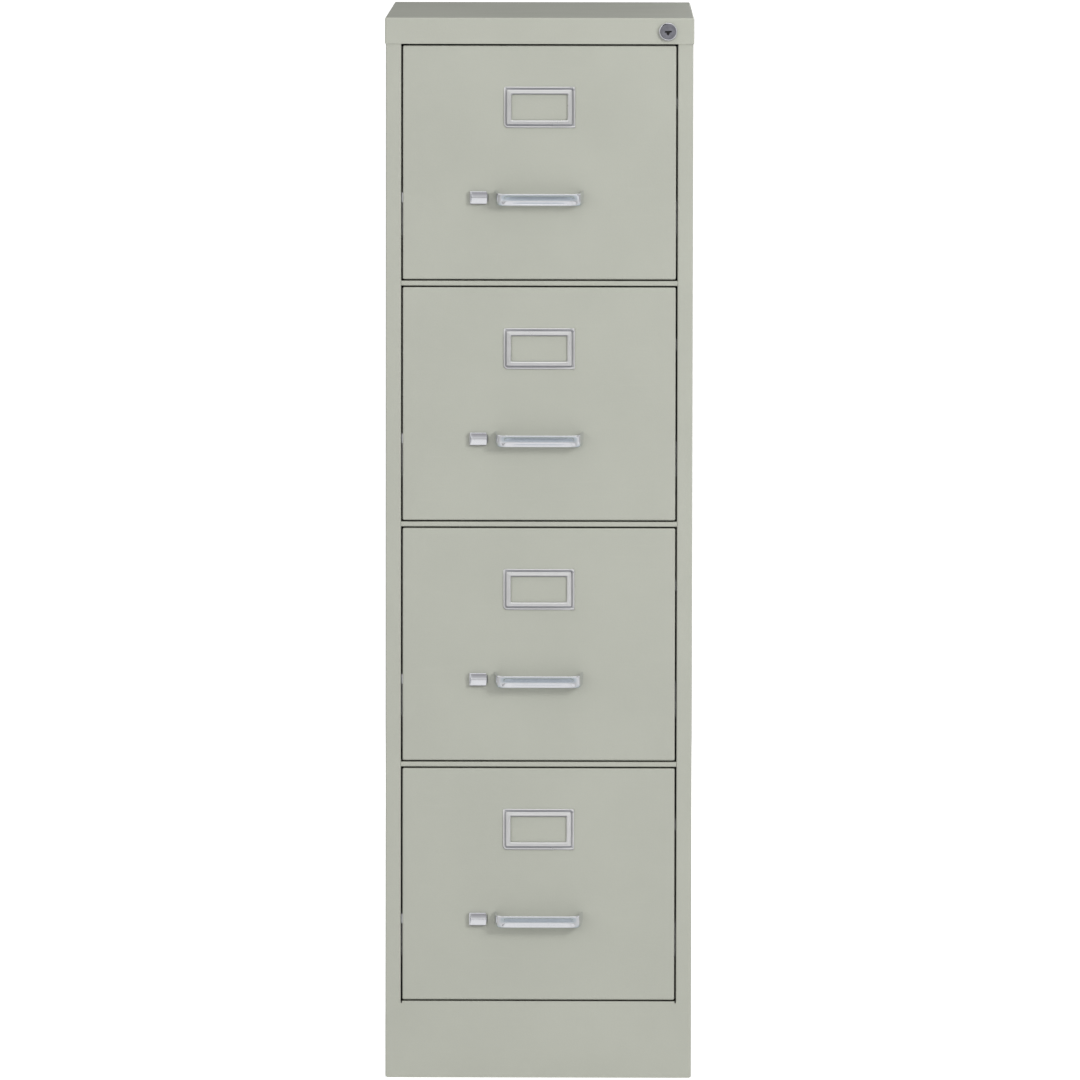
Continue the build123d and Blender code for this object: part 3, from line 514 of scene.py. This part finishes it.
def make_pull(name, low, high, material):
    """Bow pull: a bar channelled along its front, whose channel closes where it turns into two legs."""
    height = (high.z - low.z) / MM
    levels = []
    for share, bar_setback, end_setback, inset, radius in PULL_LEVELS:
        level = []
        for x, forward in pull_plan(bar_setback, end_setback, inset, radius):
            out = min(1.0, forward / (PULL_REACH - bar_setback))
            top = PULL_EAR_DROP * out ** PULL_EAR_CURVE - PULL_EAR_RISE * (1 - out)
            bottom = PULL_LEG_HEIGHT + (height - PULL_LEG_HEIGHT) * out
            drop = top + (bottom - top) * share
            level.append(Vector((x * MM, high.y - forward * MM, high.z - drop * MM)))
        levels.append(level)
    piece = mesh_object(name, loft(list(zip(*levels))), material, levels=2)
    shaped(piece)
    foot_width, foot_thickness = PULL_FOOT
    extras = []
    for side in (-1, 1):
        insets = (PULL_FOOT_INSET, foot_width)
        ends = sorted(side * (PULL_END_HALF - inset) * MM for inset in insets)
        foot_low = (ends[0], high.y - foot_thickness * MM, high.z - PULL_FOOT_DROPS[1] * MM)
        foot_high = (ends[1], high.y, high.z - PULL_FOOT_DROPS[0] * MM)
        extras.append(rounded_block(foot_low, foot_high, PULL_FOOT_EDGE * MM))
        centre = Vector((side * PULL_BOSS_X * MM, high.y, high.z - PULL_BOSS_DROP * MM))
        extras.append(lathe(PULL_BOSS, centre, PULL_BOSS_SEGMENTS))
    join(piece, extras)
    return piece


# ---------------------------------------------------------------- latch button
def latch_section(column, width, height, depth):
    """Section of the button at one column, as (distance from its back, height from its top)."""
    edge = LATCH_EDGE if column in (0.0, width) else 0.0
    cut = min(1.0, max(0.0, (column - LATCH_SCOOP_START) / LATCH_SCOOP_RUN))
    section = []
    for share in LATCH_SHARES:
        inside = min(1.0, max(0.0, (share - LATCH_LIP) / (1 - 2 * LATCH_LIP)))
        scoop = LATCH_SCOOP * cut * math.sin(math.pi * inside)
        crest = LATCH_CREST if share in (0.0, 1.0) else 0.0
        section.append((depth - edge - scoop - crest, -height * share))
    section += [(LATCH_BACK_EDGE, -height), (0.0, -height + LATCH_CREST)]
    section += [(0.0, -LATCH_CREST), (LATCH_BACK_EDGE, 0.0)]
    pinched = []
    for forward, z in section:
        inwards = -edge if z > -height / 2 else edge
        pinched.append((forward, z + inwards))
    return pinched


def make_latch(name, low, high, back, material):
    """Thumb button scooped along its width, with a raised left rim, and the stem behind it."""
    width = (high.x - low.x) / MM
    height = (high.z - low.z) / MM
    depth = (back - low.y) / MM
    columns = [0.0, LATCH_EDGE, LATCH_SCOOP_START, LATCH_RIM, LATCH_RIM_FOOT]
    columns += [width * share for share in LATCH_MIDDLE]
    columns += [width - LATCH_RIGHT_EDGE, width - LATCH_EDGE, width]
    rings = []
    for column in columns:
        ring = []
        for forward, z in latch_section(column, width, height, depth):
            ring.append(Vector((low.x + column * MM, back - forward * MM, high.z + z * MM)))
        rings.append(ring)
    piece = mesh_object(name, loft(rings), material, levels=2)
    shaped(piece)
    stem_left, stem_right, stem_half = LATCH_STEM
    middle = (low.z + high.z) / 2
    stem_low = (low.x + stem_left * MM, back - LATCH_STEM_START * MM, middle - stem_half * MM)
    stem_high = (low.x + stem_right * MM, high.y, middle + stem_half * MM)
    join(piece, [rounded_block(stem_low, stem_high, LATCH_STEM_EDGE * MM)])
    return piece


# ---------------------------------------------------------------- label holder
def frame_loop(half_width, half_height, inset):
    """Rounded rectangle, inset from its outer edge, as a closed list of (x, z, is in a notch)."""
    width = half_width - inset
    height = half_height - inset
    loop = []
    for quadrant, (x_sign, z_sign) in enumerate(((1, 1), (-1, 1), (-1, -1), (1, -1))):
        corner = max(LABEL_CORNERS[quadrant] - inset, LABEL_CORNER_LEAST)
        for index in range(LABEL_CORNER_STEPS + 1):
            angle = math.pi / 2 * (quadrant + index / LABEL_CORNER_STEPS)
            x = x_sign * (width - corner) + corner * math.cos(angle)
            z = z_sign * (height - corner) + corner * math.sin(angle)
            loop.append((x, z, quadrant in LABEL_NOTCHED and 0 < index < LABEL_CORNER_STEPS))
    return loop


def make_label(name, low, high, face, material):
    """Pressed label frame: an outer bead notched at its corners, a groove, a band and a rolled lip."""
    centre = (low + high) / 2
    half_width = (high.x - low.x) / 2 / MM
    half_height = (high.z - low.z) / 2 / MM
    rings = []
    for inset, rise in LABEL_SECTION:
        ring = []
        for x, z, is_notch in frame_loop(half_width, half_height, inset):
            lifted = min(rise, LABEL_NOTCH_RISE) if is_notch and inset < LABEL_BEAD else rise
            ring.append(Vector((centre.x + x * MM, face - lifted * MM, centre.z + z * MM)))
        rings.append(ring)
    mesh = loft(rings, closed=True)
    # painted shade: each ring of the section gets how dark its crease is painted
    crevice_shade = mesh.attributes.new("crevice_shade", "FLOAT", "POINT")
    count = len(rings[0])
    for index, (inset, _) in enumerate(LABEL_SECTION):
        shade_amount = max([amount for near, far, amount in LABEL_CREVICE_SHADE if near <= inset <= far], default=0.0)
        for corner in range(count):
            crevice_shade.data[index * count + corner].value = shade_amount
    piece = mesh_object(name, mesh, material, levels=1)
    shaped(piece)
    tabs = []
    for side, corners in LABEL_TABS:
        middle = [sum(axis) / len(corners) for axis in zip(*corners)]
        layers = []
        for rise, shrink in LABEL_TAB_LAYERS:
            layer = []
            for inwards, down in corners:
                x = half_width - middle[0] - (inwards - middle[0]) * shrink
                z = side * (half_height - middle[1] - (down - middle[1]) * shrink)
                layer.append(Vector((centre.x + x * MM, face - rise * MM, centre.z + z * MM)))
            layers.append(layer)
        tabs.append(loft(layers))
    join(piece, tabs)
    return piece


# ---------------------------------------------------------------- lock
def make_collar(low, high, front, material):
    """Lock housing: a rounded collar in front of the lid, its counterbore, and the barrel behind."""
    outer = (high.x - low.x) / 2 / MM
    reach = (front - low.y) / MM
    back = (low.y - high.y) / MM + reach
    centre = Vector(((low.x + high.x) / 2, front, (low.z + high.z) / 2))
    core = outer - BARREL_INSET
    profile = [(outer, CAP_CLEARANCE, 0.0), (outer, COLLAR_FOOT, 0.0)]
    profile += [(outer - inset, reach - setback, opening) for inset, setback, opening in COLLAR_RIM]
    profile += [(BARREL_BORE, reach - COLLAR_FLOOR, 0.0), (BARREL_BORE, back, 0.0)]
    profile += [(core, back, 0.0), (core, CAP_CLEARANCE, 0.0)]
    return mesh_object("lock_collar", lathe(profile, centre, LOCK_SEGMENTS, COLLAR_NOTCH), material)


def make_plug(low, high, material, dark):
    """Plug face with a rounded rim and a shallow dish, and a second material slot for the keyway."""
    radius = (high.x - low.x) / 2 / MM
    length = (high.y - low.y) / MM
    centre = Vector(((low.x + high.x) / 2, low.y, (low.z + high.z) / 2))
    shaft, shoulder = PLUG_SHAFT
    profile = [(wide, -depth) for wide, depth in PLUG_DISH]
    profile += [(radius - inset, -depth) for inset, depth in PLUG_RIM]
    profile += [(shaft, -shoulder), (shaft, -length), (AXIS_RADIUS, -length)]
    plug = mesh_object("lock_plug_face", lathe(profile, centre, LOCK_SEGMENTS), material)
    plug.data.materials.append(dark)
    return plug, centre


def cut_keyway(plug, centre):
    """Cut the keyway, a slot with a pointed ward below it, into the plug face."""
    rings = []
    for depth in KEYWAY_DEPTHS:
        ring = []
        for x, z in KEYWAY_OUTLINE:
            ring.append(Vector((centre.x + x * MM, centre.y + depth * MM, centre.z + z * MM)))
        rings.append(ring)
    cutter = bpy.data.objects.new("keyway_cutter", loft(rings))
    cutter.data.materials.append(plug.data.materials[0])
    cutter.data.materials.append(plug.data.materials[1])
    for polygon in cutter.data.polygons:
        polygon.material_index = 1
    bpy.context.scene.collection.objects.link(cutter)
    cut = plug.modifiers.new("keyway", "BOOLEAN")
    cut.object = cutter
    cut.operation = "DIFFERENCE"
    cut.solver = "EXACT"
    shaped(plug)
    bpy.data.objects.remove(cutter)


# ---------------------------------------------------------------- materials in use
LIGHT_GREY = (0.459, 0.470, 0.411)
DRAWER_GREY = (0.453, 0.465, 0.407)
CHROME = (0.80, 0.81, 0.84)
# colour of the painted shade in creases
CREVICE_SHADE_COLOUR = (0.22, 0.22, 0.25)
LABEL_CHROME = (0.84, 0.84, 0.84)
# colours painted on what faces down, standing in for dark reflections on the plating
CHROME_DOWN_SHADE = (0.62, 0.68, 0.74)
LATCH_DOWN_SHADE = (0.34, 0.33, 0.37)
LABEL_DOWN_SHADE = (0.50, 0.50, 0.54)
STEEL = (0.60, 0.61, 0.62)
LOCK_FACE = (0.30, 0.30, 0.34)

lock_low, lock_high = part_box("lock_plug")
lock_centre = (lock_low + lock_high) / 2

materials = {
    "body_paint": powder_paint("body_powder_coat", LIGHT_GREY),
    "drawer_paint": powder_paint("drawer_powder_coat", DRAWER_GREY),
    "handle_chrome": plated("pull_plating", CHROME, 0.10, 0.18, CHROME_DOWN_SHADE),
    "latch_chrome": plated("latch_plating", CHROME, 0.10, 0.18, LATCH_DOWN_SHADE),
    "label_chrome": plated("label_plating", LABEL_CHROME, 0.26, 0.36, LABEL_DOWN_SHADE),
    "lock_chrome": plated("collar_plating", CHROME, 0.10, 0.20, LABEL_DOWN_SHADE),
    "lock_face": turned_metal("lock_plug_metal", LOCK_FACE, lock_centre),
    "zinc_steel": zinc_plate("slide_zinc", STEEL),
}
# near-black colour painted on the keyway's walls as its shadow
keyway_painted_shadow = powder_paint("keyway_shadow", (0.012, 0.012, 0.013))

slot_of_node = {entry["node"]: entry["material_slot"] for entry in frame["record"]["subparts"]}
for name, cad_node in frame["nodes"].items():
    for material_slot in cad_node.material_slots:
        material_slot.material = materials[slot_of_node[name]]

# ---------------------------------------------------------------- detailed pieces
for number in DRAWERS:
    drawer = f"drawer_{number}"
    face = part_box(f"{drawer}_front")[0].y

    low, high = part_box(f"{drawer}_pull")
    pull = make_pull(f"{drawer}_bow_pull", low, high, materials["handle_chrome"])
    finished(pull, drawer, "handle_chrome", f"{drawer}_pull")

    low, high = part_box(f"{drawer}_latch_button")
    latch = make_latch(f"{drawer}_thumb_button", low, high, face - LATCH_GAP * MM, materials["latch_chrome"])
    finished(latch, f"{drawer}_latch", "handle_chrome", f"{drawer}_latch_button")

    low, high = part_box(f"{drawer}_label_holder")
    label = make_label(f"{drawer}_label_frame", low, high, face, materials["label_chrome"])
    finished(label, drawer, "label_chrome", f"{drawer}_label_holder")

low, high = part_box("lock_barrel")
collar = make_collar(low, high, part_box("top_cap")[0].y, materials["lock_chrome"])
finished(collar, "case", "lock_chrome", "lock_barrel")
plug, plug_centre = make_plug(lock_low, lock_high, materials["lock_face"], keyway_painted_shadow)
cut_keyway(plug, plug_centre)
finished(plug, "lock_plug", "lock_face", "lock_plug")


# ---------------------------------------------------------------- stage, lights and camera
def make_floor():
    """Wide pale floor that looks evenly lit, but throws little light back up."""
    mesh = bpy.data.meshes.new("floor")
    signs = ((-1, -1), (1, -1), (1, 1), (-1, 1))
    corners = [(x * FLOOR_HALF, y * FLOOR_HALF, 0) for x, y in signs]
    mesh.from_pydata(corners, [], [(0, 1, 2, 3)])
    floor = bpy.data.objects.new("floor", mesh)
    bpy.context.scene.collection.objects.link(floor)
    material, tree, shader = new_material("studio_floor")
    shader.inputs["Base Color"].default_value = (FLOOR_WHITE, FLOOR_WHITE, FLOOR_WHITE, 1)
    shader.inputs["Roughness"].default_value = 0.9
    shader.inputs["Specular IOR Level"].default_value = 0.1
    path = node(tree, "ShaderNodeLightPath")
    glow = node(tree, "ShaderNodeMath", operation="MULTIPLY")
    glow.inputs[1].default_value = FLOOR_GLOW
    tree.links.new(path.outputs["Is Camera Ray"], glow.inputs[0])
    shader.inputs["Emission Color"].default_value = (1, 1, 1, 1)
    tree.links.new(glow.outputs["Value"], shader.inputs["Emission Strength"])
    mesh.materials.append(material)


def area_light(name, position, target, size, power, mirrored):
    """Rectangular lamp facing the target. One that isn't mirrored leaves no glare on the steel."""
    data = bpy.data.lights.new(name, "AREA")
    data.shape = "RECTANGLE"
    data.size, data.size_y = size
    data.energy = power
    lamp = bpy.data.objects.new(name, data)
    lamp.location = position
    lamp.rotation_mode = "QUATERNION"
    lamp.rotation_quaternion = (Vector(target) - Vector(position)).to_track_quat("-Z", "Y")
    lamp.visible_glossy = mirrored
    bpy.context.scene.collection.objects.link(lamp)


def make_world():
    """White backdrop. What lights the cabinet is brightest high in front, a little to the right."""
    world = bpy.data.worlds.new("studio")
    bpy.context.scene.world = world
    world.use_nodes = True
    tree = world.node_tree
    background = tree.nodes["Background"]
    coordinates = node(tree, "ShaderNodeTexCoord")
    along = node(tree, "ShaderNodeVectorMath", operation="DOT_PRODUCT")
    along.inputs[1].default_value = SKY_AXIS
    tree.links.new(coordinates.outputs["Generated"], along.inputs[0])
    share = node(tree, "ShaderNodeMapRange")
    share.inputs["From Min"].default_value = -1.0
    tree.links.new(along.outputs["Value"], share.inputs["Value"])
    sky = ramp(tree, share.outputs["Result"], SKY_STOPS)
    split = node(tree, "ShaderNodeSeparateXYZ")
    tree.links.new(coordinates.outputs["Generated"], split.inputs["Vector"])
    sideways = node(tree, "ShaderNodeMapRange")
    sideways.inputs["From Min"].default_value = -1.0
    tree.links.new(split.outputs["X"], sideways.inputs["Value"])
    panels = ramp(tree, sideways.outputs["Result"], PANEL_STOPS)
    edges = ramp(tree, sideways.outputs["Result"], PANEL_EDGES)
    sky = mix(tree, edges, sky, panels)
    path = node(tree, "ShaderNodeLightPath")
    seen = mix(tree, path.outputs["Is Camera Ray"], sky, (1.0, 1.0, 1.0))
    tree.links.new(seen, background.inputs["Color"])
    background.inputs["Strength"].default_value = 1.0


def make_camera():
    """Camera in front and a little above the lid, framed on the cabinet's front face."""
    high = cad_box[1]
    top = high.z
    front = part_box("top_cap")[0].y
    depth = high.y - front
    rise = CAMERA_RISE * (CAMERA_DISTANCE + depth) / depth
    above_top = math.atan(rise / CAMERA_DISTANCE)
    above_floor = math.atan((rise + top) / CAMERA_DISTANCE)
    share = (0.5 - HEADROOM) / (1.0 - HEADROOM - FOOTROOM)
    upper = (above_floor - above_top) * share
    pitch = above_top + upper
    focal = (0.5 - HEADROOM) / math.tan(upper)
    data = bpy.data.cameras.new("camera")
    data.sensor_width = SENSOR
    data.lens = focal * SENSOR
    data.clip_end = CLIP_END
    camera = bpy.data.objects.new("camera", data)
    side = CAMERA_SIDE * CAMERA_DISTANCE
    camera.location = (side, front - CAMERA_DISTANCE, top + rise)
    yaw = math.atan(side / CAMERA_DISTANCE) - SIDE_SHIFT / focal
    camera.rotation_euler = (math.pi / 2 - pitch, -CAMERA_ROLL, yaw)
    bpy.context.scene.collection.objects.link(camera)
    bpy.context.scene.camera = camera


make_floor()
make_world()
for light in LIGHTS:
    area_light(*light)
make_camera()
bpy.context.scene.view_settings.view_transform = "Standard"
